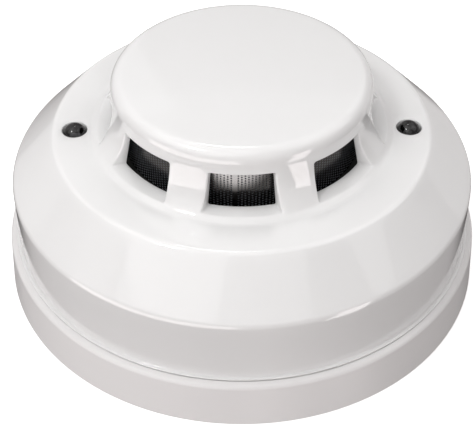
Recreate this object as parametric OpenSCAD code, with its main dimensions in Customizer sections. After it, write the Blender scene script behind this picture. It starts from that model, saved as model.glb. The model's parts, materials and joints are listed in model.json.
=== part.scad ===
// Ceiling heat detector: a head that twists into a mounting base with a three-lug bayonet.
// Millimetres. The origin is the centre of the base's back face and +Z points to the crown.
// Angles run anticlockwise from +X, as seen from the crown.

/* [Mounting base] */
// Diameter of the base at its back face
base_d = 104; // [103:0.5:106]
// How far the base wall leans in, from its foot to its top edge, on the radius
base_draft = 0.7; // [0.4:0.1:1]
// Height of the base's rim at the parting groove
base_h = 10.6; // [10.4:0.1:10.8]
// Thickness of the base's outer wall
base_wall = 2.2; // [2:0.1:2.4]
// Thickness of the base's floor
floor_t = 2.2; // [2:0.1:2.4]
// Diameter of the cable entry in the floor
cable_d = 20; // [16:1:22]
// Distance between the centres of the two ceiling fixing slots
slot_spacing = 60; // [56:1:62]
// Length of each fixing slot
slot_l = 14; // [10:1:16]
// Width of each fixing slot
slot_w = 4.4; // [3.6:0.1:5]

/* [Head cover] */
// Diameter of the head's skirt
skirt_d = 98.4; // [98:0.1:98.8]
// Height of the skirt's lower edge
skirt_z = 10.9; // [10.8:0.05:11.1]
// Height of the corner between skirt and cone
shoulder_z = 25.1; // [24:0.1:26]
// Diameter of the corner between cone and indicator ring
ring_edge_d = 79.1; // [78.5:0.1:79.5]
// Height of the flat indicator ring
ring_z = 35.2; // [35:0.1:35.4]
// Diameter of the crown above its windows
crown_d = 53.8; // [53.4:0.1:54.2]
// Height of the crown's centre, which is the height of the whole detector
crown_z = 49.4; // [49.2:0.1:49.8]
// Wall thickness of the cover
cover_wall = 2; // [1.8:0.1:2.2]

/* [Windows] */
// Number of windows round the crown
window_count = 8; // [6:1:8]
// Width of a window at the inside of the crown's wall
window_w = 12.1; // [11:0.1:12.6]
// Height of the window sill
window_z0 = 36; // [35.8:0.1:36.4]
// Height of the window's head
window_z1 = 43.5; // [42:0.1:44]
// Angle of each window's jamb to the window's centre line
jamb_flare = 25; // [15:1:28]

/* [Indicator lamps] */
// Diameter of each lamp
led_d = 5; // [4.8:0.1:5.1]
// Distance from the axis to each lamp
led_reach = 35.1; // [34.8:0.1:35.4]
// Angle by which each lamp sits forward of the crosswise line
led_swing = 2.5; // [0:0.1:3]

/* [Bayonet] */
// Number of lugs
lug_count = 3; // [2:1:3]
// Angle that each lug covers
lug_a = 18; // [14:1:18]
// Angle from locked to free
twist_a = 22; // [22:1:24]

/* [Terminals] */
// Distance from the axis to each terminal screw
terminal_r = 31; // [30.5:0.1:31.2]
// Radius of the terminal screw's thread
thread_r = 1.7; // [1.6:0.05:1.75]

/* [Hidden] */
$fn = 96;
eps = 0.02;
fit = 0.05;                        // radial play of a screw, peg or lead in its own hole

// Base levels and radii
base_r = base_d / 2;
base_top_r = base_r - base_draft;
rim_r = skirt_d / 2 + 0.7;         // where the base's sloping ledge meets the parting groove
ledge_z = base_h - 0.5;
flange_z0 = 8.2;
flange_z1 = 10.2;
flange_r = 44.6;                   // the hole that the head's spigot drops through
cavity_r = base_r - base_draft - base_wall;
collar_h = 1.8;
collar_t = 1.5;
stop_z = 5.4;
recess_r0 = cavity_r - 12;         // shallow ring in the back face, so that the base sits flat
recess_r1 = cavity_r - 2;
recess_h = 0.5;

// Head levels and radii
skirt_r = skirt_d / 2;
ring_edge_r = ring_edge_d / 2;
crown_r = crown_d / 2;
cone_a = atan((ring_z - shoulder_z) / (skirt_r - ring_edge_r));
dome_rise = 0.8;
rim_round = 2.8;
dome_edge_r = crown_r - rim_round;
dome_r = (dome_edge_r * dome_edge_r + dome_rise * dome_rise) / (2 * dome_rise);
rim_z = crown_z - dome_rise - rim_round;
flare_r = 14;                      // hollow curve of the crown's side
flare_z = rim_z - 0.5;
foot_round = 3;
lip_out = 0.8;                     // bead at the skirt's lower edge, with a hollow above it
lip_hollow = 0.7;
lip_h = 0.35;
inner_crown_r = crown_r - 1.6;
inner_foot_r = crown_r + 0.9;

// Inner parts of the head
plate_z0 = 10.45;
plate_z1 = 12.45;
plate_r = skirt_r - cover_wall - 0.3;
spigot_z = 5.9;
spigot_r1 = flange_r - 0.4;
spigot_r0 = spigot_r1 - 2.4;
lug_r = 46.5;
lug_h = 2.05;
lug_angles = [for (i = [0:lug_count - 1]) 30 + i * 360 / lug_count];
board_z0 = 16.4;
board_z1 = 18;
board_r = plate_r - 1.9;
boss_reach = 37.5;
boss_r = 3.5;
boss_z = 14.4;
boss_angles = [90, 210, 330];
boss_cup_r = 4.2;                  // the plate's raised seat under each boss
boss_screw_r = 1.3;
standoff_reach = 40.5;
standoff_r = 3;
standoff_angles = [30, 150, 270];
self_tap_r = 1.2;

// Chamber and screen
screen_r = crown_r - 2;
screen_t = 0.3;
chamber_z0 = 31.6;
chamber_z1 = 33.2;
chamber_r = inner_foot_r - 0.7;
tube_r1 = 22.3;
tube_r0 = 20.5;
cap_z0 = 43.9;
cap_z1 = 45.1;
vane_r0 = 19.5;
vane_r1 = 23;
vane_count = 20;
optic_z = 38;
optic_angles = [210, 330];
optic_r = 2.5;
post_reach = 16.5;                 // pegs that tie the chamber's cap to its base
post_r = 1.2;
peg_angles = [90, 210, 330];       // pegs that hold the chamber on the board
tube_peg_r = 0.8;
thermistor_reach = vane_r1 + 0.8;
thermistor_z = 39.6;
lead_r = 0.25;
thermistor_gap = 0.45;             // half the distance between a thermistor's leads
lamp_gap = 1.27;                   // half the distance between a lamp's leads

// Lamps
led_r = led_d / 2;
led_skew = 0.7;                    // the pair of lamps stands this far round from the windows
led_angles = [led_skew - led_swing, 180 + led_skew + led_swing];
led_top = ring_z + 1.2;
led_rise = 2.4;                    // the lens dome above the lamp's straight side
led_body_z = 27.2;
led_flange_t = 1;
led_flange_r = led_r + 0.4;
led_hole_r = led_r + 0.15;

// Terminals
terminal_count = 4;
terminal_angles = [for (i = [0:terminal_count - 1]) 45 + i * 360 / terminal_count];
pad_z = 3.4;
strip_t = 0.8;
strip_z = pad_z + strip_t;
strip_x0 = 26.5;
strip_x1 = 41;
strip_w = 8;
contact_x0 = 36.4;
contact_x1 = 39.6;
contact_half = 5;
contact_rise = 1.4;
contact_t = 0.5;
peg_x = 35.2;
peg_r = 1;
washer_w = 7.6;
washer_t = 1;
washer_z = strip_z + fit;
screw_head_r = 3.2;
screw_head_h = 2;
screw_tip_z = 1.1;
blade_x = 38;
blade_w = 4;
blade_t = 0.6;
blade_z = 5.75;

// ---- Outlines ---------------------------------------------------------------------------

function arc(cx, cy, r, a0, a1, n = 8) =
    [for (i = [0:n]) let (a = a0 + (a1 - a0) * i / n) [cx + r * cos(a), cy + r * sin(a)]];

function unit(v) = v / norm(v);

// Points of the arc that rounds the corner a-b-c with radius r
function corner(a, b, c, r, n = 6) =
    let (u = unit(a - b), v = unit(c - b), half = acos(u * v) / 2,
         m = b + unit(u + v) * r / sin(half),
         s = b + u * r / tan(half) - m, e = b + v * r / tan(half) - m,
         a0 = atan2(s[1], s[0]), turn = atan2(s[0] * e[1] - s[1] * e[0], s * e))
    [for (i = [0:n]) m + r * [cos(a0 + turn * i / n), sin(a0 + turn * i / n)]];

// Crown side: a hollow curve that ends in a small round on the indicator ring
flare_x = crown_r + flare_r;
flare_a = asin((flare_z - ring_z - foot_round) / (flare_r - foot_round));
foot_x = flare_x - (flare_r - foot_round) * cos(flare_a);

cone_foot = [skirt_r, shoulder_z];
cone_top = [ring_edge_r, ring_z];
cover_outline = concat(
    arc(0, crown_z - dome_r, dome_r, 90, 90 - asin(dome_edge_r / dome_r), 6),
    arc(dome_edge_r, rim_z, rim_round, 84, 0, 8),
    arc(flare_x, flare_z, flare_r, 180, 180 + flare_a, 10),
    arc(foot_x, ring_z + foot_round, foot_round, 180 + flare_a + 8, 270, 6),
    corner([foot_x, ring_z], cone_top, cone_foot, 1.6),
    corner(cone_top, cone_foot, [skirt_r, skirt_z], 2),
    arc(skirt_r + lip_hollow, skirt_z + lip_h + lip_hollow, lip_hollow, 180, 270, 4),
    [[skirt_r + lip_out, skirt_z + lip_h - 0.1], [skirt_r + lip_out, skirt_z], [0, skirt_z]]);

// Inside of the cover, a wall's thickness within the outline
slope_drop = cover_wall / cos(cone_a);
inner_shoulder_z = shoulder_z + cover_wall * tan(cone_a) - slope_drop;
inner_ring_r = ring_edge_r - (slope_drop - cover_wall) / tan(cone_a);
inner_ring_z = ring_z - cover_wall;
inner_top_z = crown_z - cover_wall;
cover_cavity = [[0, skirt_z - 1], [skirt_r - cover_wall, skirt_z - 1],
    [skirt_r - cover_wall, inner_shoulder_z], [inner_ring_r, inner_ring_z],
    [inner_foot_r, inner_ring_z], [inner_crown_r, inner_top_z - 1.8],
    [inner_crown_r - 1.5, inner_top_z - 0.6], [0, inner_top_z]];

base_outline = concat(
    [[0, 0], [base_r, 0]],
    corner([base_r, 0], [base_top_r, ledge_z], [rim_r, base_h], 0.8),
    [[rim_r, base_h], [rim_r - 0.2, flange_z1], [0, flange_z1]]);

// ---- Helpers ----------------------------------------------------------------------------

module at(reach, angle, z = 0) {
    rotate(angle) translate([reach, 0, z]) children();
}

module post(r, z0, z1) {
    translate([0, 0, z0]) cylinder(r = r, h = z1 - z0);
}

module ring(r0, r1, z0, z1) {
    rotate_extrude() translate([r0, z0]) square([r1 - r0, z1 - z0]);
}

module block(x0, x1, w, z0, z1) {
    translate([x0, -w / 2, z0]) cube([x1 - x0, w, z1 - z0]);
}

// Part of a ring between two radii, from angle a0 to a1
module ring_part(r0, r1, z0, z1, a0, a1) {
    translate([0, 0, z0]) linear_extrude(z1 - z0)
        intersection() {
            difference() {
                circle(r = r1);
                circle(r = r0);
            }
            polygon([[0, 0], 2 * r1 * [cos(a0), sin(a0)], 2 * r1 * [cos(a1), sin(a1)]]);
        }
}

module slot_hole(length, width, z0, z1) {
    reach = (length - width) / 2;
    for (s = [-1, 1]) translate([s * reach, 0, 0]) post(width / 2, z0, z1);
    block(-reach, reach, width, z0, z1);
}

module chip(length, width, height, legs, pitch) {
    lift = 0.15;
    translate([-length / 2, -width / 2, board_z1 + lift]) cube([length, width, height]);
    for (side = [-1, 1], i = [0:legs - 1])
        translate([(i - (legs - 1) / 2) * pitch, side * (width / 2 + 0.45), 0])
            translate([-0.2, -0.55, board_z1 + eps]) cube([0.4, 1.1, lift + 0.4]);
}

// ---- Mounting base ----------------------------------------------------------------------

module mounting_base() {
    color("white") difference() {
        union() {
            difference() {
                rotate_extrude() polygon(base_outline);
                post(cavity_r, floor_t, flange_z0);
                post(flange_r, flange_z0 - eps, base_h);
                for (a = lug_angles) lug_notch(a);
            }
            ring(cable_d / 2, cable_d / 2 + collar_t, floor_t - eps, floor_t + collar_h);
            for (a = lug_angles) twist_stops(a);
            for (a = terminal_angles) rotate(a) terminal_pad();
        }
        post(cable_d / 2, -1, floor_t + collar_h + 1);
        for (s = [-1, 1]) translate([s * slot_spacing / 2, 0, 0])
            slot_hole(slot_l, slot_w, -1, floor_t + 1);
        for (a = terminal_angles) at(terminal_r, a) post(thread_r + 0.4, screw_tip_z - 0.1, pad_z + 1);
        ring(recess_r0, recess_r1, -1, recess_h);
    }
}

module lug_notch(a) {
    half = lug_a / 2 + 1.5;
    mid = a + twist_a;
    ring_part(flange_r - 1, lug_r + 0.5, flange_z0 - 1, base_h, mid - half, mid + half);
}

// Stops under the flange, one where the head locks and one where it comes free
module twist_stops(a) {
    gap = 0.6;
    stop_a = 3.5;
    before = a - lug_a / 2 - gap;
    after = a + twist_a + lug_a / 2 + gap;
    for (from = [before - stop_a, after])
        ring_part(flange_r + 0.4, cavity_r + 0.2, stop_z, flange_z0 + eps, from, from + stop_a);
}

module terminal_pad() {
    rib_t = 1;
    rib_gap = 0.25;
    block(strip_x0 - 0.5, strip_x1 + 0.2, 11, floor_t - eps, pad_z);
    for (s = [-1, 1])
        translate([0, s * (strip_w / 2 + rib_gap + rib_t / 2), 0])
            block(terminal_r - 3.6, terminal_r + 3, rib_t, pad_z - eps, strip_z + 2.6);
    translate([peg_x, 0, 0]) post(peg_r, pad_z - eps, strip_z + 0.6);
}

// ---- Terminals --------------------------------------------------------------------------

module terminal_plate() {
    leaf_r = (contact_half * contact_half + contact_rise * contact_rise) / (2 * contact_rise);
    leaf_a = asin(contact_half / leaf_r);
    crest = strip_z + contact_rise;
    color("gold") difference() {
        union() {
            block(strip_x0, contact_x0, strip_w, pad_z, strip_z);
            block(contact_x0 - 0.6, strip_x1, 2 * contact_half + 0.6, pad_z, strip_z);
            translate([contact_x1, 0, crest - leaf_r]) rotate([90, 0, -90])
                linear_extrude(contact_x1 - contact_x0)
                    polygon(concat(
                        arc(0, 0, leaf_r, 90 - leaf_a, 90 + leaf_a, 12),
                        arc(0, 0, leaf_r - contact_t, 90 + leaf_a, 90 - leaf_a, 12)));
        }
        translate([terminal_r, 0, 0]) post(thread_r + fit, pad_z - 1, strip_z + 1);
        translate([peg_x, 0, 0]) post(peg_r + fit, pad_z - 1, strip_z + 1);
    }
}

module clamp_washer() {
    lip_t = 0.35;
    color("silver") difference() {
        union() {
            block(terminal_r - washer_w / 2, terminal_r + washer_w / 2 - 0.9, washer_w,
                washer_z + lip_t, washer_z + washer_t);
            for (x = [-washer_w / 2, washer_w / 2 - 1.9])
                block(terminal_r + x, terminal_r + x + 1, washer_w, washer_z,
                    washer_z + lip_t + eps);
        }
        translate([terminal_r, 0, 0]) post(thread_r + 0.1, washer_z - 1, washer_z + washer_t + 1);
    }
}

module terminal_screw() {
    head_z = washer_z + washer_t + eps;
    slot_t = 0.9;
    slot_reach = 2.3;
    color("silver") translate([terminal_r, 0, 0]) difference() {
        union() {
            post(thread_r, screw_tip_z, head_z + 0.1);
            post(screw_head_r, head_z, head_z + screw_head_h);
        }
        for (a = [0, 90]) rotate(a)
            block(-slot_reach, slot_reach, slot_t, head_z + screw_head_h - 1.1, head_z + 4);
    }
}

// ---- Back plate, blades and board -------------------------------------------------------

module back_plate() {
    color("white") difference() {
        union() {
            post(plate_r, plate_z0, plate_z1);
            ring(spigot_r0, spigot_r1, spigot_z, plate_z0 + eps);
            for (a = lug_angles)
                ring_part(spigot_r1 - 0.5, lug_r, spigot_z, spigot_z + lug_h,
                    a - lug_a / 2, a + lug_a / 2);
            for (a = boss_angles) at(boss_reach, a) post(boss_cup_r, plate_z1 - eps, boss_z - fit);
            for (a = standoff_angles) at(standoff_reach, a)
                post(standoff_r, plate_z1 - eps, board_z0 - fit);
        }
        for (a = boss_angles) at(boss_reach, a) {
            post(3, plate_z0 - 1, plate_z1 + 0.15);
            post(boss_screw_r + 0.3, plate_z0, boss_z);
        }
        for (a = standoff_angles) at(standoff_reach, a)
            post(self_tap_r + fit, plate_z1, board_z0);
        for (a = terminal_angles) rotate(a) blade_slot(plate_z0 - 1, plate_z1 + 1);
    }
}

module blade_slot(z0, z1) {
    play = 0.1;
    block(blade_x - blade_t / 2 - play, blade_x + blade_t / 2 + play, blade_w + 2 * play, z0, z1);
}

module contact_blade() {
    foot_l = 9;
    color("gold") {
        block(blade_x - blade_t / 2, blade_x + blade_t / 2, blade_w, blade_z, board_z1 + 1);
        block(blade_x - 1.8, blade_x + 1.8, foot_l, blade_z, blade_z + blade_t);
        block(blade_x - blade_t / 2, blade_x + blade_t / 2, blade_w + 3,
            plate_z1 + fit, plate_z1 + 1.2);
    }
}

module circuit_board() {
    color("green") difference() {
        post(board_r, board_z0, board_z1);
        for (a = boss_angles) {
            at(boss_reach, a) post(boss_r + 0.6, board_z0 - 1, board_z1 + 1);
            rotate(a) block(boss_reach, board_r + 2, 2 * boss_r + 1.2, board_z0 - 1, board_z1 + 1);
        }
        for (a = standoff_angles) at(standoff_reach, a) post(1.4, board_z0 - 1, board_z1 + 1);
        for (a = terminal_angles) rotate(a) blade_slot(board_z0 - 1, board_z1 + 1);
        for (a = peg_angles) at(tube_r0 + 0.9, a) post(tube_peg_r + fit, board_z0 - 1, board_z1 + 1);
        for (a = led_angles) at(led_reach, a)
            lead_pair(lamp_gap, lead_r + fit, board_z0 - 1, board_z1 + 1);
        for (a = [0, 180]) at(thermistor_reach, a)
            lead_pair(thermistor_gap, lead_r + fit, board_z0 - 1, board_z1 + 1);
    }
}

module lead_pair(half_gap, r, z0, z1) {
    for (s = [-1, 1]) translate([0, s * half_gap, 0]) post(r, z0, z1);
}

module board_screws() {
    color("silver") for (a = standoff_angles) at(standoff_reach, a) difference() {
        union() {
            post(self_tap_r, plate_z1 + 0.3, board_z1 + 0.1);
            post(2.4, board_z1 + eps, board_z1 + 1.7);
        }
        block(-1.7, 1.7, 0.7, board_z1 + 0.9, board_z1 + 3);
        block(-0.35, 0.35, 3.4, board_z1 + 0.9, board_z1 + 3);
    }
}

module cover_screws() {
    head_z = plate_z1 + 0.15 - eps;
    color("silver") for (a = boss_angles) at(boss_reach, a) difference() {
        union() {
            post(boss_screw_r, head_z - 0.1, boss_z + 8);
            post(2.75, head_z - 1.8, head_z);
        }
        block(-1.8, 1.8, 0.8, plate_z0 - 1, head_z - 0.9);
        block(-0.4, 0.4, 3.6, plate_z0 - 1, head_z - 0.9);
    }
}

// ---- Parts on the board -----------------------------------------------------------------

module microcontroller() {
    color("dimgray") at(32, 250) rotate(90) chip(10, 6, 2, 7, 1.27);
}

module amplifier_chip() {
    color("dimgray") chip(5, 4, 1.5, 4, 1.27);
}

module shield_can() {
    wall = 0.4;
    size = [14, 12, 5];
    color("silver") translate([0, 0, board_z1 + fit]) difference() {
        translate([-size[0] / 2, -size[1] / 2, 0]) cube(size);
        translate([-size[0] / 2 + wall, -size[1] / 2 + wall, -wall]) cube(size - [2, 2, 0] * wall);
    }
}

module bridge_rectifier() {
    color("dimgray") at(33, 160) rotate(90) chip(8.4, 6.4, 3.2, 2, 5.08);
}

module varistor() {
    disc_r = 3.6;
    color("royalblue") at(33, 20) {
        translate([1.6, 0, board_z1 + 1.2 + disc_r]) rotate([0, -90, 0]) cylinder(r = disc_r, h = 3.2);
        translate([0.4, 0, 0]) lead_pair(2.5, lead_r + 0.1, board_z1 + fit, board_z1 + 3);
    }
}

module capacitors() {
    color("dimgray") for (a = [68, 112]) at(32.5, a) {
        post(3.15, board_z1 + 0.5, board_z1 + 8);
        post(2.9, board_z1 + eps, board_z1 + 0.6);
    }
}

module transistors() {
    flat_y = 1;
    color("dimgray") for (a = [285, 300]) at(31, a) {
        translate([0, 0, board_z1 + 2.5]) linear_extrude(4.6) intersection() {
            circle(r = 2.3);
            translate([-3, -flat_y - 2.3]) square([6, 2 * flat_y + 2.3]);
        }
        for (s = [-1:1]) translate([s * 1.27, -0.6, 0]) post(0.22, board_z1 + fit, board_z1 + 2.6);
    }
}

module resistors() {
    color("black") for (a = [5:10:355])
        if (abs(a % 90 - 45) < 38 && abs(a - 250) > 16) at(27.5, a)
            translate([-0.8, -1.6, board_z1 + eps]) cube([1.6, 3.2, 0.6]);
}

// ---- Optical chamber --------------------------------------------------------------------

module chamber_base() {
    color("#181818") difference() {
        union() {
            post(chamber_r, chamber_z0, chamber_z1);
            ring(tube_r0, tube_r1, board_z1 + fit, chamber_z0 + eps);
            for (a = peg_angles) at(tube_r0 + 0.9, a) post(tube_peg_r, board_z0 + 0.4, board_z1 + 1);
            for (a = optic_angles) rotate(a) block(11.5, 18.5, 8, chamber_z1 - eps, optic_z + 3.6);
        }
        for (a = optic_angles) rotate(a) {
            translate([8, 0, optic_z]) rotate([0, 90, 0]) cylinder(r = optic_r + fit, h = 14);
            block(16.2, 17.8, 3.6, chamber_z0 - 1, optic_z);
        }
        for (a = [90, 270]) at(post_reach, a) post(post_r + fit, chamber_z0 - 1, chamber_z1 + 1);
        for (a = [0, 180]) at(thermistor_reach, a)
            block(-0.7, 0.7, 2.2, chamber_z0 - 1, chamber_z1 + 1);
    }
}

// The cap carries the vanes: each is a bent plate that lets air in and keeps light out
module chamber_cap() {
    vane_t = 0.8;
    color("#181818") {
        post(vane_r1, cap_z0, cap_z1);
        for (i = [0:vane_count - 1]) rotate((i + 0.5) * 360 / vane_count)
            translate([0, 0, chamber_z1 + fit]) linear_extrude(cap_z0 - chamber_z1)
                polygon([[vane_r0, 0], [vane_r0 + 1.7, 1.5], [vane_r1 - 0.1, 0.2],
                    [vane_r1 - 0.1, 0.2 - vane_t], [vane_r0 + 1.7, 1.5 - vane_t * 1.3],
                    [vane_r0, -vane_t]]);
        for (a = [90, 270]) at(post_reach, a) post(post_r, chamber_z0 + 0.4, cap_z0 + eps);
    }
}

// A round-nosed optical part lying in its holder, with its leads down to the board
module optic(flange_x, angle) {
    nose_x = 12.3;
    rotate(angle) {
        translate([nose_x, 0, optic_z]) rotate([0, 90, 0]) cylinder(r = optic_r, h = flange_x - nose_x);
        translate([nose_x, 0, optic_z]) sphere(r = optic_r);
        for (s = [-1, 1]) translate([16.9, s * lamp_gap, 0])
            post(lead_r, board_z1 + fit, optic_z - 1.8);
    }
}

module infrared_led() {
    color("lightblue") optic(18.3, optic_angles[0]);
}

module photodiode() {
    color("#202028") optic(18.3, optic_angles[1]);
}

module thermistor() {
    bead_r = 0.75;
    color("#303030") translate([thermistor_reach, 0, 0]) {
        translate([0, 0, thermistor_z]) sphere(r = bead_r);
        lead_pair(thermistor_gap, lead_r, board_z0 - 0.8, thermistor_z);
    }
}

module insect_screen() {
    color("dimgray") ring(screen_r - screen_t, screen_r, chamber_z1 + fit, inner_top_z - 1.9);
}

// ---- Indicator lamps --------------------------------------------------------------------

module led_spacer() {
    color("white") translate([led_reach, 0, 0]) difference() {
        post(led_r, board_z1 + fit, led_body_z - led_flange_t - fit);
        lead_pair(lamp_gap, lead_r + fit, board_z1 - 1, led_body_z);
    }
}

module indicator_led() {
    color("#303030") translate([led_reach, 0, 0]) {
        post(led_flange_r, led_body_z - led_flange_t, led_body_z);
        post(led_r, led_body_z - eps, led_top - led_rise);
        translate([0, 0, led_top - led_rise]) rotate_extrude()
            polygon(concat([[0, 0]],
                [for (i = [0:8]) [led_r * cos(90 * i / 8), led_rise * sin(90 * i / 8)]]));
        lead_pair(lamp_gap, lead_r, board_z0 - 0.8, led_body_z - led_flange_t + eps);
    }
}

// ---- Cover ------------------------------------------------------------------------------

module outer_cover() {
    color("white") difference() {
        union() {
            difference() {
                rotate_extrude() polygon(cover_outline);
                rotate_extrude() polygon(cover_cavity);
            }
            intersection() {
                for (a = boss_angles) at(boss_reach, a) post(boss_r, boss_z, inner_ring_z + 0.5);
                rotate_extrude() polygon(cover_outline);
            }
            for (a = led_angles) at(led_reach, a)
                post(led_r + 1.6, led_body_z + 0.3, inner_ring_z + 0.5);
        }
        for (i = [0:window_count - 1]) rotate(270 + i * 360 / window_count) window();
        for (a = boss_angles) at(boss_reach, a) post(boss_screw_r + fit, boss_z - 1, boss_z + 9);
        for (a = led_angles) at(led_reach, a) post(led_hole_r, led_body_z - 1, ring_z + 1);
    }
}

// A window's sides open outwards
module window() {
    near = inner_crown_r - 4;
    far = crown_r + 8;
    half = window_w / 2;
    wide = half + (far - inner_crown_r) * tan(jamb_flare);
    narrow = half - (inner_crown_r - near) * tan(jamb_flare);
    translate([0, 0, window_z0]) linear_extrude(window_z1 - window_z0)
        polygon([[near, -narrow], [far, -wide], [far, wide], [near, narrow]]);
}

// ---- Assembly ---------------------------------------------------------------------------

mounting_base();
for (i = [0:terminal_count - 1]) {
    rotate(terminal_angles[i]) terminal_plate();
    rotate(terminal_angles[i]) clamp_washer();
    rotate(terminal_angles[i]) terminal_screw();
    rotate(terminal_angles[i]) contact_blade();
}
back_plate();
circuit_board();
board_screws();
cover_screws();
microcontroller();
amplifier_chip();
shield_can();
bridge_rectifier();
varistor();
capacitors();
transistors();
resistors();
chamber_base();
chamber_cap();
infrared_led();
photodiode();
rotate(180) thermistor();  // thermistor_left
thermistor();  // thermistor_right
insect_screen();
rotate(led_angles[1]) led_spacer();  // led_spacer_left
rotate(led_angles[0]) led_spacer();  // led_spacer_right
rotate(led_angles[1]) indicator_led();  // indicator_led_left
rotate(led_angles[0]) indicator_led();  // indicator_led_right
outer_cover();
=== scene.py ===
import json
import math

import bmesh
import bpy
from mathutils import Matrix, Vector


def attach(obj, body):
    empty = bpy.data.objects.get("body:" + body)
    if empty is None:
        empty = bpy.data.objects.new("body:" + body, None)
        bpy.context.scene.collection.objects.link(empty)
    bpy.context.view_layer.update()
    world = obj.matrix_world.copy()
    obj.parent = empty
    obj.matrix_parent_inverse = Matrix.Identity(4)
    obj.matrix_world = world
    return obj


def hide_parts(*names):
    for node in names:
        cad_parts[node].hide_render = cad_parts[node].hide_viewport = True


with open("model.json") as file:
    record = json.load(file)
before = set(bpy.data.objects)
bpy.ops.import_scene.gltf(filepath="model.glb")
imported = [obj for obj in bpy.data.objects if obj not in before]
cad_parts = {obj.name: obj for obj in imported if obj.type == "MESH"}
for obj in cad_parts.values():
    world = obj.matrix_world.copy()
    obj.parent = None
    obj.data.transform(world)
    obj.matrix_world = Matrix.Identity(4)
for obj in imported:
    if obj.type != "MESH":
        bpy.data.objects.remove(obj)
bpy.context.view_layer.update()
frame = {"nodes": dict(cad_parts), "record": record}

MM = 0.001


# ---- Camera, floor and light ----------------------------------------------------------------

def aim(obj, location, target=(0, 0, 0)):
    obj.location = location
    direction = Vector(target) - Vector(location)
    obj.rotation_euler = direction.to_track_quat("-Z", "Y").to_euler()


def make_camera():
    data = bpy.data.cameras.new("camera")
    camera = bpy.data.objects.new("camera", data)
    bpy.context.collection.objects.link(camera)
    elevation = math.radians(43.3)
    distance = 0.2786
    aim(camera, (0, -distance * math.cos(elevation), distance * math.sin(elevation)))
    data.sensor_width = 36
    data.lens = 91.76
    data.shift_x = -0.0103
    data.shift_y = 0.0618
    data.clip_start = 0.01
    bpy.context.scene.camera = camera


def softbox(name, azimuth, elevation, distance, size, power, colour=(1, 1, 1)):
    """A rectangular light that faces the object. Azimuth 0 is in front of it, 90 to its right.
    The size and the distance are in metres, and the power in watts."""
    data = bpy.data.lights.new(name, "AREA")
    data.shape = "RECTANGLE"
    data.size, data.size_y = size
    data.energy = power
    data.color = colour
    light = bpy.data.objects.new(name, data)
    bpy.context.collection.objects.link(light)
    a, e = math.radians(azimuth), math.radians(elevation)
    aim(light, (distance * math.cos(e) * math.sin(a), -distance * math.cos(e) * math.cos(a),
                distance * math.sin(e)), (0, 0, 0.02))
    light.visible_camera = False


def make_studio():
    world = bpy.data.worlds.new("studio")
    bpy.context.scene.world = world
    world.use_nodes = True
    background = world.node_tree.nodes["Background"]
    background.inputs["Color"].default_value = (1, 0.94, 0.935, 1)
    # Even light from all round, with a dark patch behind and below
    place = world.node_tree.nodes.new("ShaderNodeTexCoord")
    toward = world.node_tree.nodes.new("ShaderNodeVectorMath")
    toward.operation = "DOT_PRODUCT"
    toward.inputs[1].default_value = (0, 0.5, -0.866)
    fade = world.node_tree.nodes.new("ShaderNodeMapRange")
    fade.interpolation_type = "SMOOTHSTEP"
    fade.inputs["From Min"].default_value = 0.82
    fade.inputs["From Max"].default_value = 0.93
    fade.inputs["To Min"].default_value = 0.33
    fade.inputs["To Max"].default_value = 0.02
    world.node_tree.links.new(place.outputs["Generated"], toward.inputs[0])
    world.node_tree.links.new(toward.outputs["Value"], fade.inputs["Value"])
    world.node_tree.links.new(fade.outputs["Result"], background.inputs["Strength"])
    warm = (1, 0.935, 0.93)
    # The low front lights stop near the horizon, so that a level look from behind finds no glare
    for box in [
            ("key", -52, 56, 0.8, (0.11, 0.11), 0.9),
            ("key_bounce", -50, 63, 0.8, (0.9, 0.9), 1.6),
            ("front_left_fill", -40, -11.5, 0.8, (1.2, 0.49), 4.2, warm),
            ("front_high", -15, 40, 0.8, (1.2, 0.5), 0.9),
            ("left_side", -95, 50, 0.8, (0.8, 0.8), 0.5),
            ("right_strip", 47, -15, 0.6, (0.16, 0.5), 0.8, warm),
            ("right_side", 85, 48, 0.8, (0.6, 0.6), 0.6),
            ("overhead", 180, 82, 0.8, (1.4, 1.4), 1.2),
            ("back", -173, 64, 0.8, (0.16, 0.06), 0.3),
            ("back_right", 125, 58, 0.8, (0.8, 0.8), 0.6),
            ("back_left", -135, 20, 0.8, (0.9, 0.9), 0.75),
            ("back_right_low", 135, -8, 0.8, (0.7, 0.5), 0.35)]:
        softbox(*box)
    bpy.context.scene.view_settings.view_transform = "Standard"


def make_floor():
    mesh = bpy.data.meshes.new("floor")
    reach, z = 3.0, -0.00005
    mesh.from_pydata([(-reach, -reach, z), (reach, -reach, z),
                      (reach, reach, z), (-reach, reach, z)], [], [(0, 1, 2, 3)])
    floor = bpy.data.objects.new("floor", mesh)
    bpy.context.collection.objects.link(floor)
    # The floor glows, white round the object and a pale grey further away: a painted pool of light
    floor.data.materials.append(surface("floor_panel", (0.62, 0.62, 0.62), 0.85, vary=0.004,
                                        cloud=3.0, grain=300, bump=0.02, glow=0.45,
                                        bright=((0, 0, 0), 0.18, 0.55, (0.96, 0.96, 0.96))))
    # Bounced and mirrored light leave the floor out, so that the sides keep their shade
    floor.visible_diffuse = False
    floor.visible_glossy = False


# ---- Materials ------------------------------------------------------------------------------

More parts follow.
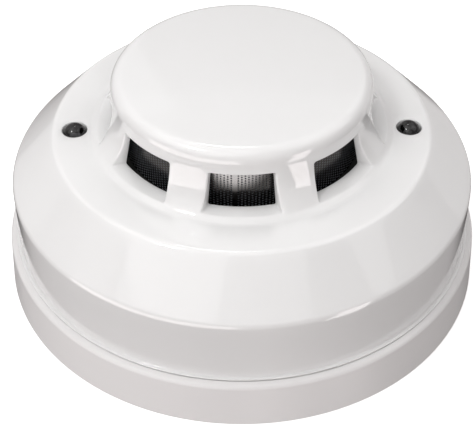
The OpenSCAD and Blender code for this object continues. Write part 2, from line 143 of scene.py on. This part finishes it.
def surface(name, colour, rough, metal=0.0, vary=0.03, cloud=45.0, grain=1600.0, bump=0.05,
            rough_vary=0.04, brushed=None, specks=0.0, bright=None, glow=0.0, sockets=()):
    """A moulded or metal surface: slow colour drift, fine grain in the gloss and the relief.
    bright is a centre, a near and a far distance in metres, and the colour of the light painted
    inside them."""
    material = bpy.data.materials.new(name)
    material.use_nodes = True
    tree = material.node_tree
    node, link = tree.nodes.new, tree.links.new
    tree.nodes.clear()
    output = node("ShaderNodeOutputMaterial")
    shader = node("ShaderNodeBsdfPrincipled")
    link(shader.outputs["BSDF"], output.inputs["Surface"])
    place = node("ShaderNodeTexCoord")

    drift = node("ShaderNodeTexNoise")
    drift.inputs["Scale"].default_value = cloud
    drift.inputs["Detail"].default_value = 3
    link(place.outputs["Object"], drift.inputs["Vector"])
    tint = node("ShaderNodeMix")
    tint.data_type = "RGBA"
    tint.inputs["A"].default_value = (*[c * (1 - vary) for c in colour], 1)
    tint.inputs["B"].default_value = (*[min(1, c * (1 + vary)) for c in colour], 1)
    link(drift.outputs["Fac"], tint.inputs["Factor"])
    painted = tint.outputs["Result"]
    if specks:
        cells = node("ShaderNodeTexVoronoi")
        cells.inputs["Scale"].default_value = 75
        link(place.outputs["Object"], cells.inputs["Vector"])
        spot = node("ShaderNodeMapRange")
        spot.inputs["From Min"].default_value = 0.010
        spot.inputs["From Max"].default_value = 0.016
        spot.inputs["To Min"].default_value = specks
        spot.inputs["To Max"].default_value = 0
        link(cells.outputs["Distance"], spot.inputs["Value"])
        dust = node("ShaderNodeMix")
        dust.data_type = "RGBA"
        dust.inputs["B"].default_value = (0.32, 0.30, 0.28, 1)
        link(spot.outputs["Result"], dust.inputs["Factor"])
        link(painted, dust.inputs["A"])
        painted = dust.outputs["Result"]
    # Painted light: near the centre the colour turns lighter, a painted patch of light that fades
    # out by the far distance
    if bright:
        centre, near, far, painted_light_colour = bright
        away = node("ShaderNodeVectorMath")
        away.operation = "DISTANCE"
        away.inputs[1].default_value = centre
        link(place.outputs["Object"], away.inputs[0])
        fade = node("ShaderNodeMapRange")
        fade.interpolation_type = "SMOOTHSTEP"
        fade.inputs["From Min"].default_value = near
        fade.inputs["From Max"].default_value = far
        fade.inputs["To Min"].default_value = 1
        fade.inputs["To Max"].default_value = 0
        link(away.outputs["Value"], fade.inputs["Value"])
        painted_light_mix = node("ShaderNodeMix")
        painted_light_mix.data_type = "RGBA"
        painted_light_mix.inputs["B"].default_value = (*painted_light_colour, 1)
        link(fade.outputs["Result"], painted_light_mix.inputs["Factor"])
        link(painted, painted_light_mix.inputs["A"])
        painted = painted_light_mix.outputs["Result"]
    link(painted, shader.inputs["Base Color"])
    if glow:
        link(painted, shader.inputs["Emission Color"])
        shader.inputs["Emission Strength"].default_value = glow

    fine = node("ShaderNodeTexNoise")
    fine.inputs["Scale"].default_value = grain
    fine.inputs["Detail"].default_value = 2
    if brushed:
        stretch = node("ShaderNodeMapping")
        stretch.inputs["Scale"].default_value = brushed
        link(place.outputs["Object"], stretch.inputs["Vector"])
        link(stretch.outputs["Vector"], fine.inputs["Vector"])
    else:
        link(place.outputs["Object"], fine.inputs["Vector"])
    gloss = node("ShaderNodeMapRange")
    gloss.inputs["To Min"].default_value = max(0.02, rough - rough_vary)
    gloss.inputs["To Max"].default_value = rough + rough_vary
    link(fine.outputs["Fac"], gloss.inputs["Value"])
    link(gloss.outputs["Result"], shader.inputs["Roughness"])
    relief = node("ShaderNodeBump")
    relief.inputs["Strength"].default_value = bump
    relief.inputs["Distance"].default_value = 0.0001
    link(fine.outputs["Fac"], relief.inputs["Height"])
    link(relief.outputs["Normal"], shader.inputs["Normal"])
    shader.inputs["Metallic"].default_value = metal
    for socket, value in sockets:
        shader.inputs[socket].default_value = value
    return material


def make_materials():
    def coated(weight, rough=0.05):
        return [("Coat Weight", weight), ("Coat Roughness", rough)]
    return {
        "base_plastic": surface("base_plastic", (0.79, 0.785, 0.782), 0.36, vary=0.012,
                                grain=2600, bump=0.05, specks=0.5, sockets=coated(0.15, 0.15)),
        "cover_plastic": surface("cover_plastic", (0.880, 0.886, 0.882), 0.30, vary=0.010,
                                 grain=1100, bump=0.010, specks=0.7,
                                 sockets=coated(1.0, 0.05) + [
                                     ("Specular IOR Level", 0.2), ("Coat IOR", 1.7),
                                     ("Subsurface Weight", 0.45), ("Subsurface Scale", 0.002),
                                     ("Subsurface Radius", (1.0, 1.0, 1.0))]),
        "inner_plastic": surface("inner_plastic", (0.78, 0.78, 0.77), 0.45, bump=0.12),
        "plated_brass": surface("plated_brass", (0.78, 0.72, 0.56), 0.28, metal=1, vary=0.08,
                                brushed=(1, 0.06, 1), bump=0.1),
        "zinc_steel": surface("zinc_steel", (0.68, 0.70, 0.72), 0.32, metal=1, vary=0.06,
                              bump=0.08),
        "tinplate": surface("tinplate", (0.74, 0.74, 0.75), 0.25, metal=1, vary=0.05,
                            brushed=(0.05, 1, 1)),
        # Dark screen metal with a painted reflection: lighter round a point at the top of the front
        # window, near the lap
        "screen_steel": surface("screen_steel", (0.09, 0.085, 0.082), 0.22, metal=1, vary=0.05,
                                grain=900, bump=0.02, rough_vary=0.04,
                                bright=((-0.0011, -0.0249, 0.0445), 0.0032, 0.0072,
                                        (0.66, 0.64, 0.635))),
        "sheared_steel": surface("sheared_steel", (0.17, 0.18, 0.195), 0.45, metal=0.1, vary=0.1,
                                 grain=2500, bump=0.05),
        "glass_epoxy": surface("glass_epoxy", (0.03, 0.16, 0.07), 0.35, vary=0.12, grain=1400,
                               bump=0.1, sockets=coated(0.3, 0.15)),
        "chip_black": surface("chip_black", (0.03, 0.03, 0.033), 0.55, vary=0.15, bump=0.2),
        "varistor_blue": surface("varistor_blue", (0.04, 0.12, 0.36), 0.25, vary=0.1,
                                 grain=500, bump=0.2),
        "capacitor_sleeve": surface("capacitor_sleeve", (0.03, 0.03, 0.05), 0.22, vary=0.1,
                                    grain=700),
        "chamber_black": surface("chamber_black", (0.012, 0.012, 0.012), 0.6, vary=0.2,
                                 bump=0.15),
        "clear_epoxy": surface("clear_epoxy", (0.50, 0.58, 0.68), 0.08, vary=0.02, bump=0.01,
                               sockets=[("Transmission Weight", 0.7), ("IOR", 1.55)]),
        "dark_epoxy": surface("dark_epoxy", (0.03, 0.02, 0.04), 0.1, vary=0.1, bump=0.01),
        "thermistor_bead": surface("thermistor_bead", (0.04, 0.04, 0.045), 0.2, vary=0.1,
                                   grain=3000),
        "smoked_epoxy": surface("smoked_epoxy", (0.05, 0.05, 0.053), 0.03, vary=0.3,
                                cloud=1800, grain=900, bump=0.02, rough_vary=0.01,
                                sockets=[("Transmission Weight", 1.0), ("IOR", 1.6)]),
    }


# ---- Outlines, in millimetres as (radius, height) -------------------------------------------

def arc(centre, radius, start, stop, count):
    angles = [math.radians(start + (stop - start) * i / count) for i in range(count + 1)]
    return [(centre[0] + radius * math.cos(a), centre[1] + radius * math.sin(a)) for a in angles]


def line(a, b, count):
    return [(a[0] + (b[0] - a[0]) * i / count, a[1] + (b[1] - a[1]) * i / count)
            for i in range(count + 1)]


def corner(a, b, c, radius, count):
    """Points of the arc that rounds the corner a-b-c."""
    a, b, c = Vector(a), Vector(b), Vector(c)
    u, v = (a - b).normalized(), (c - b).normalized()
    half = u.angle(v) / 2
    middle = b + (u + v).normalized() * radius / math.sin(half)
    start, stop = b + u * radius / math.tan(half) - middle, b + v * radius / math.tan(half) - middle
    first = math.atan2(start.y, start.x)
    turn = math.atan2(start.x * stop.y - start.y * stop.x, start.dot(stop))
    return [(middle.x + radius * math.cos(first + turn * i / count),
             middle.y + radius * math.sin(first + turn * i / count)) for i in range(count + 1)]


def join(*parts):
    """One outline from several, without doubled points."""
    points = []
    for part in parts:
        for p in part:
            if not points or math.dist(p, points[-1]) > 1e-4:
                points.append(p)
    return points


class Path:
    """A dense outline that can be read by length along it or by height."""

    def __init__(self, points):
        self.points = points
        self.lengths = [0.0]
        for a, b in zip(points, points[1:]):
            self.lengths.append(self.lengths[-1] + math.dist(a, b))

    def at(self, s):
        s = min(max(s, 0.0), self.lengths[-1])
        for i in range(1, len(self.lengths)):
            if s <= self.lengths[i]:
                share = (s - self.lengths[i - 1]) / (self.lengths[i] - self.lengths[i - 1])
                (x0, y0), (x1, y1) = self.points[i - 1], self.points[i]
                return x0 + (x1 - x0) * share, y0 + (y1 - y0) * share
        return self.points[-1]

    def length_at_height(self, z):
        for i in range(1, len(self.points)):
            z0, z1 = self.points[i - 1][1], self.points[i][1]
            if min(z0, z1) <= z <= max(z0, z1) and z0 != z1:
                return self.lengths[i - 1] + (z - z0) / (z1 - z0) * (
                    self.lengths[i] - self.lengths[i - 1])
        raise ValueError(z)

    def even(self, s0, s1, count):
        return [self.at(s0 + (s1 - s0) * i / count) for i in range(count + 1)]


# ---- The cover: crown, ring, cone and skirt in one moulding ----------------------------------

COLUMNS = 288
STEP = 360 / COLUMNS
WINDOWS = 8
WINDOW_HALF = 6.05
WINDOW_R = 25.3
WINDOW_LOW, WINDOW_HIGH = 36.0, 43.5
JAMB = math.tan(math.radians(25))
EDGE_ROUND = 0.35
WINDOW_CORNER = 0.45
TOP_Z, TOP_INSIDE_Z = 49.4, 47.4
CROWN_R, CROWN_BEND = 26.9, 45.8
RIM, RIM_R = (24.1, CROWN_BEND), 2.8
FLARE, FLARE_R = (40.9, 45.3), 14.0
FOOT, FOOT_R = (32.498, 38.2), 3.0
RING_Z = 35.2
RING_EDGE, SHOULDER, SKIRT_LOW = (39.55, 35.2), (49.2, 25.1), (49.2, 11.5)
RING_UNDER = 33.2
LAMP_R, LAMP_HOLE, LAMP_EDGE = 35.1, 2.65, 0.2
LAMP_ANGLES = {"right": -1.8, "left": 183.2}
LIP_R, LIP_Z = 50.0, 10.76


def ring_height(radius):
    """The height of the indicator ring, which turns up into the crown's foot."""
    reach = max(0.0, FOOT[0] - radius)
    return FOOT[1] - math.sqrt(FOOT_R ** 2 - reach ** 2)


def jamb_angle(radius):
    """Angle from a window's centre line to its jamb, at this radius."""
    offset = WINDOW_HALF - WINDOW_R * JAMB
    k = 1 + JAMB * JAMB
    x = (-offset * JAMB + math.sqrt((offset * JAMB) ** 2 - k * (offset ** 2 - radius ** 2))) / k
    return math.degrees(math.atan2(offset + JAMB * x, x))


def spot(radius, angle, z):
    a = math.radians(angle)
    return Vector((radius * math.cos(a), radius * math.sin(a), z))


def window_loop(across, down, half, height):
    """A rounded rectangle with as many points as the border of across x down cells: for each,
    its place from -1 to 1 and from 0 to height, and the outward direction."""
    rx, ry = WINDOW_CORNER / half, WINDOW_CORNER
    points = []
    sides = [(across, (0, -1), (1, 0)), (down, (1, 0), (0, 1)),
             (across, (0, 1), (-1, 0)), (down, (-1, 0), (0, -1))]
    for count, out, along in sides:
        for i in range(count):
            if i < 2 or i > count - 2:
                turn = math.radians(45 * (2 - i) / 2 if i < 2 else -45 * (i - count + 2) / 2)
                n = (out[0] * math.cos(turn) - along[0] * math.sin(turn),
                     out[1] * math.cos(turn) - along[1] * math.sin(turn))
                side = -1 if i < 2 else 1
                cx = (out[0] + side * along[0]) * (1 - rx)
                cy = height / 2 + (out[1] + side * along[1]) * (height / 2 - ry)
                points.append((cx + n[0] * rx, cy + n[1] * ry, n))
            else:
                share = -1 + 2 * (i - 2) / (count - 4)
                px = out[0] + along[0] * share * (1 - rx)
                py = height / 2 * (1 + out[1]) + along[1] * share * (height / 2 - ry)
                points.append((px, py, out))
    return points


def border(grid, first, count, col0, col1, upward=False):
    """The grid's vertices round a block of cells. upward reads the rows from the last one."""
    def row(r):
        return first + (count - r if upward else r)
    keys = [(0, c) for c in range(col0, col1)]
    keys += [(r, col1) for r in range(count)]
    keys += [(count, c) for c in range(col1, col0, -1)]
    keys += [(r, col0) for r in range(count, 0, -1)]
    return [grid[row(r)][c % COLUMNS] for r, c in keys]


def bridge(bm, outer, inner):
    count = len(outer)
    return [bm.faces.new((outer[i], outer[(i + 1) % count], inner[(i + 1) % count], inner[i]))
            for i in range(count)]


def revolve(bm, points, skipped=()):
    """Rings of vertices from the outline, and faces between them except in skipped blocks."""
    rows = [[bm.verts.new(spot(r, c * STEP, z) * MM) for c in range(COLUMNS)] for r, z in points]
    holes = {(r, c % COLUMNS) for r0, r1, c0, c1 in skipped
             for r in range(r0, r1) for c in range(c0, c1)}
    for r in range(len(rows) - 1):
        for c in range(COLUMNS):
            if (r, c) not in holes:
                d = (c + 1) % COLUMNS
                bm.faces.new((rows[r][c], rows[r][d], rows[r + 1][d], rows[r + 1][c]))
    return rows


def tube(bm, x, y, z0, z1, r0, r1, count=48):
    """A closed upright tube, or a closed post where r0 is 0."""
    loops = []
    for r, z in [(r1, z0), (r1, z1), (r0, z1), (r0, z0)] if r0 else [(r1, z0), (r1, z1)]:
        loops.append([bm.verts.new(Vector((x + r * math.cos(2 * math.pi * i / count),
                                           y + r * math.sin(2 * math.pi * i / count), z)) * MM)
                      for i in range(count)])
    for a, b in zip(loops, loops[1:] + (loops[:1] if r0 else [])):
        bridge(bm, a, b)
    if not r0:
        bm.faces.new(loops[0][::-1])
        bm.faces.new(loops[1])


def finish_mesh(bm, name, body, material, sharp=32):
    bmesh.ops.remove_doubles(bm, verts=bm.verts, dist=1e-7)
    bmesh.ops.recalc_face_normals(bm, faces=bm.faces)
    mesh = bpy.data.meshes.new(name)
    bm.to_mesh(mesh)
    bm.free()
    mesh.shade_smooth()
    mesh.set_sharp_from_angle(angle=math.radians(sharp))
    piece = bpy.data.objects.new(name, mesh)
    bpy.context.collection.objects.link(piece)
    piece.data.materials.append(materials[material])
    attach(piece, body)
    return piece


def make_cover():
    dome_rise = 0.8
    dome_r = (RIM[0] ** 2 + dome_rise ** 2) / (2 * dome_rise)
    slope = math.degrees(math.asin(RIM[0] / dome_r))
    flare_stop = 220.197  # where the flare's arc meets the foot's
    side = Path(join(line((CROWN_R, CROWN_BEND), (CROWN_R, FLARE[1]), 2),
                     arc(FLARE, FLARE_R, 180, flare_stop, 160),
                     arc(FOOT, FOOT_R, flare_stop, 270, 60)))
    s_top = side.length_at_height(44.7)
    s_low = side.length_at_height(35.35)
    s_head = side.length_at_height(WINDOW_HIGH)
    s_sill = side.length_at_height(WINDOW_LOW)
    block = 20

    dome = [(r, TOP_Z - dome_r + math.sqrt(dome_r ** 2 - r ** 2))
            for r in [1.5, 4, 7, 10, 13, 16, 18.5, 20.5, 22, 23.2]]
    rim = arc(RIM, RIM_R, 90 - slope, 0, 16)
    above = side.even(0, s_top, 3)
    windows = side.even(s_top, s_low, block)
    ring_start = 31.9
    s_foot = side.length_at_height(ring_height(ring_start))
    foot = side.even(s_low, s_foot, 3)
    edge = corner((FOOT[0], RING_Z), RING_EDGE, SHOULDER, 1.6, 8)
    ring = join([(r, ring_height(r)) for r in (ring_start, 32.1, 32.3)],
                line((FOOT[0], RING_Z), edge[0], 12))
    ring_rows = len(ring) - 1
    shoulder = corner(RING_EDGE, SHOULDER, SKIRT_LOW, 2.0, 8)
    cone = line(edge[-1], shoulder[0], 12)
    hollow, bead = 0.4, 0.17
    lip = join(arc((SHOULDER[0] + hollow, LIP_Z + 2 * bead + hollow), hollow, 180, 270, 6),
               arc((LIP_R - bead, LIP_Z + bead), bead, 90, -90, 8))
    skirt = line(shoulder[-1], lip[0], 12)
    outside = join(dome, rim, above, windows, foot, ring, edge, cone, shoulder, skirt, lip)

    wall = Path([(27.8, RING_UNDER), (25.3, 45.6)])
    w_low, w_high = wall.length_at_height(35.1), wall.length_at_height(44.6)
    skirt_in, cone_in = 47.2, (38.69, RING_UNDER)
    ring_in = ((38.2, RING_UNDER), (32.0, RING_UNDER))
    inside = join([(skirt_in, LIP_Z)], line((skirt_in, 12), (skirt_in, 24.30), 8),
                  line((skirt_in, 24.30), cone_in, 8), line(*ring_in, ring_rows),
                  [wall.points[0]], wall.even(w_low, w_high, block),
                  [wall.points[1], (23.8, 46.8), (12, 47.2), (2, TOP_INSIDE_Z)])

    def row_of(points, point):
        return min(range(len(points)), key=lambda i: math.dist(points[i], point))

    reach = 14  # columns on each side of a window's centre line
    columns = [round((270 + 360 * k / WINDOWS) / STEP) for k in range(WINDOWS)]
    top = row_of(outside, windows[0])
    ring0 = row_of(outside, ring[0])
    in_low = row_of(inside, wall.at(w_low))
    in_ring = row_of(inside, ring_in[0])
    lamp_reach = 6.25  # degrees on each side of a lamp
    lamp_cols = {side_name: (round((a - lamp_reach) / STEP), round((a + lamp_reach) / STEP))
                 for side_name, a in LAMP_ANGLES.items()}
    skip_out = [(top, top + block, c - reach, c + reach) for c in columns]
    skip_out += [(ring0, ring0 + ring_rows, a, b) for a, b in lamp_cols.values()]
    skip_in = [(in_low, in_low + block, c - reach, c + reach) for c in columns]
    skip_in += [(in_ring, in_ring + ring_rows, a, b) for a, b in lamp_cols.values()]

    bm = bmesh.new()
    outer = revolve(bm, outside, skip_out)
    inner = revolve(bm, inside, skip_in)
    bridge(bm, outer[-1], inner[0])
    for rows, z in [(outer[0], TOP_Z), (inner[-1], TOP_INSIDE_Z)]:
        pole = bm.verts.new(Vector((0, 0, z)) * MM)
        for i in range(COLUMNS):
            bm.faces.new((rows[i], rows[(i + 1) % COLUMNS], pole))

    # Windows: a rounded edge outside, then the reveal, to the wall's inner face
    half = math.radians(jamb_angle(28.5)) * 28.5
    loop = window_loop(2 * reach, block, half, s_sill - s_head)
    for c in columns:
        middle = c * STEP
        edges, deep = [], []
        for x, s, n in loop:
            r, z = side.at(s_head + s)
            edges.append(spot(r, middle + x * jamb_angle(r), z))
            r_in = wall.at(wall.length_at_height(z))[0]
            deep.append(spot(r_in, middle + x * jamb_angle(r_in), z))
        rings = [border(outer, top, block, c - reach, c + reach)]
        for k in range(5):
            beta = math.radians(22.5 * k)
            out, down = EDGE_ROUND * (1 - math.sin(beta)), EDGE_ROUND * (1 - math.cos(beta))
            made = []
            for (x, s, n), e, d in zip(loop, edges, deep):
                r, z = side.at(s_head + s + n[1] * out)
                angle = middle + x * jamb_angle(r) + math.degrees(n[0] * out / r)
                made.append(bm.verts.new((spot(r, angle, z) + (d - e).normalized() * down) * MM))
            rings.append(made)
        rings.append([bm.verts.new(d * MM) for d in deep])
        rings.append(border(inner, in_low, block, c - reach, c + reach, upward=True))
        for a, b in zip(rings, rings[1:]):
            bridge(bm, a, b)

    # Lamp holes: a rounded edge, then straight down through the ring
    for name, (a, b) in lamp_cols.items():
        centre = spot(LAMP_R, LAMP_ANGLES[name], 0)
        around = border(outer, ring0, ring_rows, a, b)
        below = border(inner, in_ring, ring_rows, a, b, upward=True)
        turns = [math.atan2(v.co.y / MM - centre.y, v.co.x / MM - centre.x) for v in around]
        rings = [around]
        for k in range(5):
            beta = math.radians(22.5 * k)
            r = LAMP_HOLE + LAMP_EDGE * (1 - math.sin(beta))
            made = []
            for t in turns:
                x, y = centre.x + r * math.cos(t), centre.y + r * math.sin(t)
                z = ring_height(math.hypot(x, y)) - LAMP_EDGE * (1 - math.cos(beta))
                made.append(bm.verts.new(Vector((x, y, z)) * MM))
            rings.append(made)
        rings.append([bm.verts.new(Vector((centre.x + LAMP_HOLE * math.cos(t),
                                           centre.y + LAMP_HOLE * math.sin(t), RING_UNDER)) * MM)
                      for t in turns])
        rings.append(below)
        for p, q in zip(rings, rings[1:]):
            bridge(bm, p, q)
        tube(bm, centre.x, centre.y, 27.5, 33.3, LAMP_HOLE, LAMP_HOLE + 1.45)
    # The bosses that take the cover's screws
    for angle in (90, 210, 330):
        boss = spot(37.5, angle, 0)
        tube(bm, boss.x, boss.y, 14.4, 32.6, 1.35, 3.5)
    cover = finish_mesh(bm, "cover_shell", "head", "cover_plastic")
    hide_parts("outer_cover")


# ---- The screen: perforated sheet rolled into a band -----------------------------------------

def make_screen():
    radius, sheet = 24.9, 0.3
    columns, rows = 228, 17
    pitch = 0.617
    z_first = 33.65
    hole_r = 0.2
    low, high = 33.25, 45.5
    turn = 360 / columns
    seam = 267.4
    bm = bmesh.new()
    cache = {}

    def vert(kind, angle, z, depth):
        """The vertex at a place, made once. depth 0 is the sheet's outer face and 1 the inner."""
        key = (kind, round(angle % 360, 4), round(z, 4), depth)
        if key not in cache:
            cache[key] = bm.verts.new(spot(radius - sheet * depth, angle, z) * MM)
        return cache[key]

    arc_mm = math.radians(turn) * radius
    cell = pitch / math.sqrt(3)
    wide = turn * 2 / 3
    # The corners of the hexagon cell and of its octagonal hole, in turn
    steps = sorted([(60 * k, True, k) for k in range(6)]
                   + [(45 * k + 22.5, False, k) for k in range(8)])
    for c in range(columns):
        shift = 0.5 if c % 2 else 0
        angle = c * turn
        near_seam = abs((angle - seam + 180) % 360 - 180) < 0.6 * turn
        for r in range(rows):
            z = z_first + (r + shift) * pitch
            hexagon = [(angle + wide * math.cos(math.radians(60 * k)),
                        z + cell * math.sin(math.radians(60 * k))) for k in range(6)]
            sides = []
            for depth in (0, 1):
                corners = [vert("h", a, h, depth) for a, h in hexagon]
                if near_seam:
                    bm.faces.new(corners if depth == 0 else corners[::-1])
                    continue
                hole = []
                for k in range(8):
                    t = math.radians(45 * k + 22.5)
                    hole.append(bm.verts.new(spot(
                        radius - sheet * depth, angle + turn * hole_r * math.cos(t) / arc_mm,
                        z + hole_r * math.sin(t)) * MM))
                sides.append(hole)
                corner_now, hole_now = 5, 7
                for _, at_corner, k in steps:
                    following = corners[k] if at_corner else hole[k]
                    bm.faces.new((corners[corner_now], following, hole[hole_now]))
                    if at_corner:
                        corner_now = k
                    else:
                        hole_now = k
            if sides:
                for face in bridge(bm, *sides):
                    face.material_index = 1
    # Plain borders above and below the perforations
    for depth in (0, 1):
        for c in range(columns):
            shift = 0.5 if c % 2 else 0
            following = 0.5 if (c + 1) % 2 else 0
            angle = c * turn
            for top in (False, True):
                r = rows - 1 if top else 0
                z = z_first + (r + shift) * pitch + (0.5 if top else -0.5) * pitch
                z_mid = z_first + (r + shift) * pitch
                z_next = z_first + (r + following) * pitch + (0.5 if top else -0.5) * pitch
                half = wide / 2
                end = high if top else low
                left = vert("h", angle - half, z, depth)
                right = vert("h", angle + half, z, depth)
                nxt = vert("h", angle + turn - half, z_next, depth)
                bl = vert("b", angle - half, end, depth)
                br = vert("b", angle + half, end, depth)
                bn = vert("b", angle + turn - half, end, depth)
                bm.faces.new((left, right, br, bl))
                # Between two columns the border meets the side corner of the nearer cell
                own = vert("h", angle + wide, z_mid, depth)
                other = vert("h", angle + turn - wide, z_first + (r + following) * pitch, depth)
                between = own if (shift < following if top else shift > following) else other
                shared = () if between in (right, nxt) else (between,)
                bm.faces.new((right, *shared, nxt, bn, br))
    for end in (low, high):
        for c in range(columns):
            angle = c * turn
            half = wide / 2
            for a0, a1 in ((angle - half, angle + half), (angle + half, angle + turn - half)):
                bm.faces.new((vert("b", a0, end, 0), vert("b", a1, end, 0),
                              vert("b", a1, end, 1), vert("b", a0, end, 1)))
    # The lap: the sheet's outer end lies over its start
    lap0, lap1 = seam - 1.0 * turn, seam + 0.45 * turn
    ringed = []
    for depth in (-0.55, -0.05):
        strip = [(lap0 + (lap1 - lap0) * k / 4) for k in range(5)]
        ringed.append([[bm.verts.new(spot(radius - sheet * depth, a, h) * MM)
                        for h in (low, high)] for a in strip])
    for k in range(4):
        for layer in ringed:
            bm.faces.new((layer[k][0], layer[k + 1][0], layer[k + 1][1], layer[k][1]))
        for h in (0, 1):
            bm.faces.new((ringed[0][k][h], ringed[0][k + 1][h], ringed[1][k + 1][h],
                          ringed[1][k][h]))
    for k in (0, 4):
        bm.faces.new((ringed[0][k][0], ringed[0][k][1], ringed[1][k][1], ringed[1][k][0]))
    screen = finish_mesh(bm, "perforated_screen", "head", "screen_steel")
    screen.data.materials.append(materials["sheared_steel"])
    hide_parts("insect_screen")


# ---- Indicator lamps: a smoked lens moulded round its lead frame ------------------------------

def spin(bm, x, y, points, count=64):
    """Turns a closed outline of (radius, height) about an upright line; radius 0 is the axis."""
    loops = []
    for r, z in points:
        if r:
            loops.append([bm.verts.new(Vector((x + r * math.cos(2 * math.pi * i / count),
                                               y + r * math.sin(2 * math.pi * i / count), z)) * MM)
                          for i in range(count)])
        else:
            loops.append([bm.verts.new(Vector((x, y, z)) * MM)] * count)
    for a, b in zip(loops, loops[1:]):
        for i in range(count):
            j = (i + 1) % count
            corners = list(dict.fromkeys((a[i], a[j], b[j], b[i])))
            bm.faces.new(corners)


def slab(bm, centre, across, along, z0, z1, lower, upper):
    """An upright bar with a tapered foot and head: lower and upper are its half sizes."""
    rings = []
    for z, (hx, hy) in ((z0, lower), (z1, upper)):
        rings.append([bm.verts.new((centre + across * sx * hx + along * sy * hy
                                    + Vector((0, 0, z))) * MM)
                      for sx, sy in ((-1, -1), (1, -1), (1, 1), (-1, 1))])
    bridge(bm, rings[0], rings[1])
    bm.faces.new(rings[0][::-1])
    bm.faces.new(rings[1])


def wire(bm, points, radius, count=8):
    """A closed round wire through the points."""
    loops = []
    for i, p in enumerate(points):
        ahead = points[min(i + 1, len(points) - 1)] - points[max(i - 1, 0)]
        side = ahead.orthogonal().normalized()
        other = ahead.normalized().cross(side)
        loops.append([bm.verts.new((p + side * radius * math.cos(2 * math.pi * k / count)
                                    + other * radius * math.sin(2 * math.pi * k / count)) * MM)
                      for k in range(count)])
    for a, b in zip(loops, loops[1:]):
        bridge(bm, a, b)
    bm.faces.new(loops[0][::-1])
    bm.faces.new(loops[-1])


def make_lamps():
    top, r, rise = 36.4, 2.5, 2.4
    for name, angle in LAMP_ANGLES.items():
        centre = spot(LAMP_R, angle, 0)
        along = spot(1, angle + 90, 0)
        across = spot(1, angle, 0)
        lens = join([(0, 26.2), (2.75, 26.2), (2.9, 26.35), (2.9, 27.05), (2.75, 27.2)],
                    corner((2.75, 27.2), (r, 27.2), (r, top - rise), 0.12, 3),
                    [(r * math.cos(a), top - rise + rise * math.sin(a))
                     for a in [math.radians(5 * i) for i in range(18)]], [(0, top)])
        bm = bmesh.new()
        spin(bm, centre.x, centre.y, lens)
        piece = finish_mesh(bm, "lamp_lens_" + name, "head", "smoked_epoxy", sharp=40)
        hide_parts("indicator_led_" + name)

        bm = bmesh.new()
        for side, width, height in ((-1, 0.95, 32.3), (1, 0.5, 32.7)):
            foot = centre + along * side * 1.27
            head = centre + along * side * (0.62 if side < 0 else 1.0)
            spin(bm, foot.x, foot.y, [(0, 15.6), (0.2, 15.6), (0.25, 15.7), (0.25, 28.6),
                                      (0, 28.6)], 16)
            slab(bm, foot, across, along, 28.4, 29.6, (0.25, 0.3), (0.25, 0.42))
            neck, lip = (0.25, width * 0.8), (0.22, width * 0.62)
            slab(bm, (foot + head) / 2, across, along, 29.5, 31.4, (0.25, 0.55), neck)
            slab(bm, head, across, along, 31.3, height, neck, lip)
        cup = centre - along * 0.62
        spin(bm, cup.x, cup.y, [(0, 32.2), (0.55, 32.2), (0.85, 32.9), (0.78, 32.9),
                                (0.42, 32.45), (0, 32.45)], 32)
        die = (0.16, 0.16)
        slab(bm, cup, across, along, 32.46, 32.66, die, die)
        post = centre + along * 1.0
        bond = [(cup, 32.66), (cup + along * 0.15, 33.1), ((cup + post) / 2, 33.3),
                (post - along * 0.1, 33.0), (post, 32.7)]
        wire(bm, [place + Vector((0, 0, z)) for place, z in bond], 0.025)
        finish_mesh(bm, "lamp_frame_" + name, "head", "zinc_steel", sharp=30)


# ---- Everything -----------------------------------------------------------------------------

materials = make_materials()
slots = {part["node"]: part["material_slot"] for part in frame["record"]["subparts"]}
for node_name, cad in frame["nodes"].items():
    cad.data.materials.clear()
    cad.data.materials.append(materials[slots[node_name]])

make_camera()
make_studio()
make_floor()
make_cover()
make_screen()
make_lamps()
